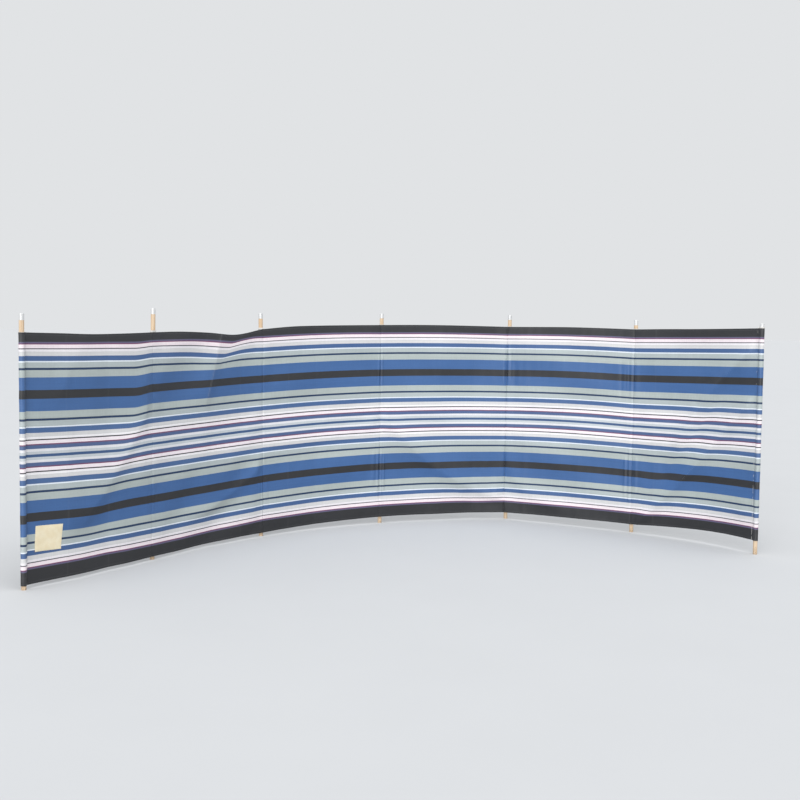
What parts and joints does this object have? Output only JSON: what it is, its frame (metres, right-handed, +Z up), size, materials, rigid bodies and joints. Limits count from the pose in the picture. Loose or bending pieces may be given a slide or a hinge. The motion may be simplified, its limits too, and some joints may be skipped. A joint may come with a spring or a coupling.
{
  "type": "beach windbreak",
  "caption": "Striped cloth beach windbreak standing in a shallow curve on capped round wooden poles held in stitched sleeves, with a bare sewn patch.",
  "frame": {"origin": "centre of the middle pole's foot at ground level", "axes": "+Z up; +X along the windbreak's longest extent; the hollow front of the curve faces -Y"},
  "size_m": [4.448, 2.4519, 1.5581],
  "materials": {
    "pole_wood": "turned, unvarnished",
    "cap_metal": "dull bare metal",
    "striped_cloth": "close plain weave, printed stripes",
    "patch_cloth": "plain weave"
  },
  "bodies": {
    "root": {"pole_1": "pole_wood", "pole_2": "pole_wood", "pole_3": "pole_wood", "pole_4": "pole_wood", "pole_5": "pole_wood", "pole_6": "pole_wood", "pole_7": "pole_wood", "pole_cap_1": "cap_metal", "pole_cap_2": "cap_metal", "pole_cap_3": "cap_metal", "pole_cap_4": "cap_metal", "pole_cap_5": "cap_metal", "pole_cap_6": "cap_metal", "pole_cap_7": "cap_metal", "sleeve_1": "striped_cloth", "sleeve_2": "striped_cloth", "sleeve_3": "striped_cloth", "sleeve_4": "striped_cloth", "sleeve_5": "striped_cloth", "sleeve_6": "striped_cloth", "sleeve_7": "striped_cloth", "cloth_bay_1": "striped_cloth", "cloth_bay_2": "striped_cloth", "cloth_bay_3": "striped_cloth", "cloth_bay_4": "striped_cloth", "cloth_bay_5": "striped_cloth", "cloth_bay_6": "striped_cloth", "label_patch": "patch_cloth"}
  },
  "joints": []
}
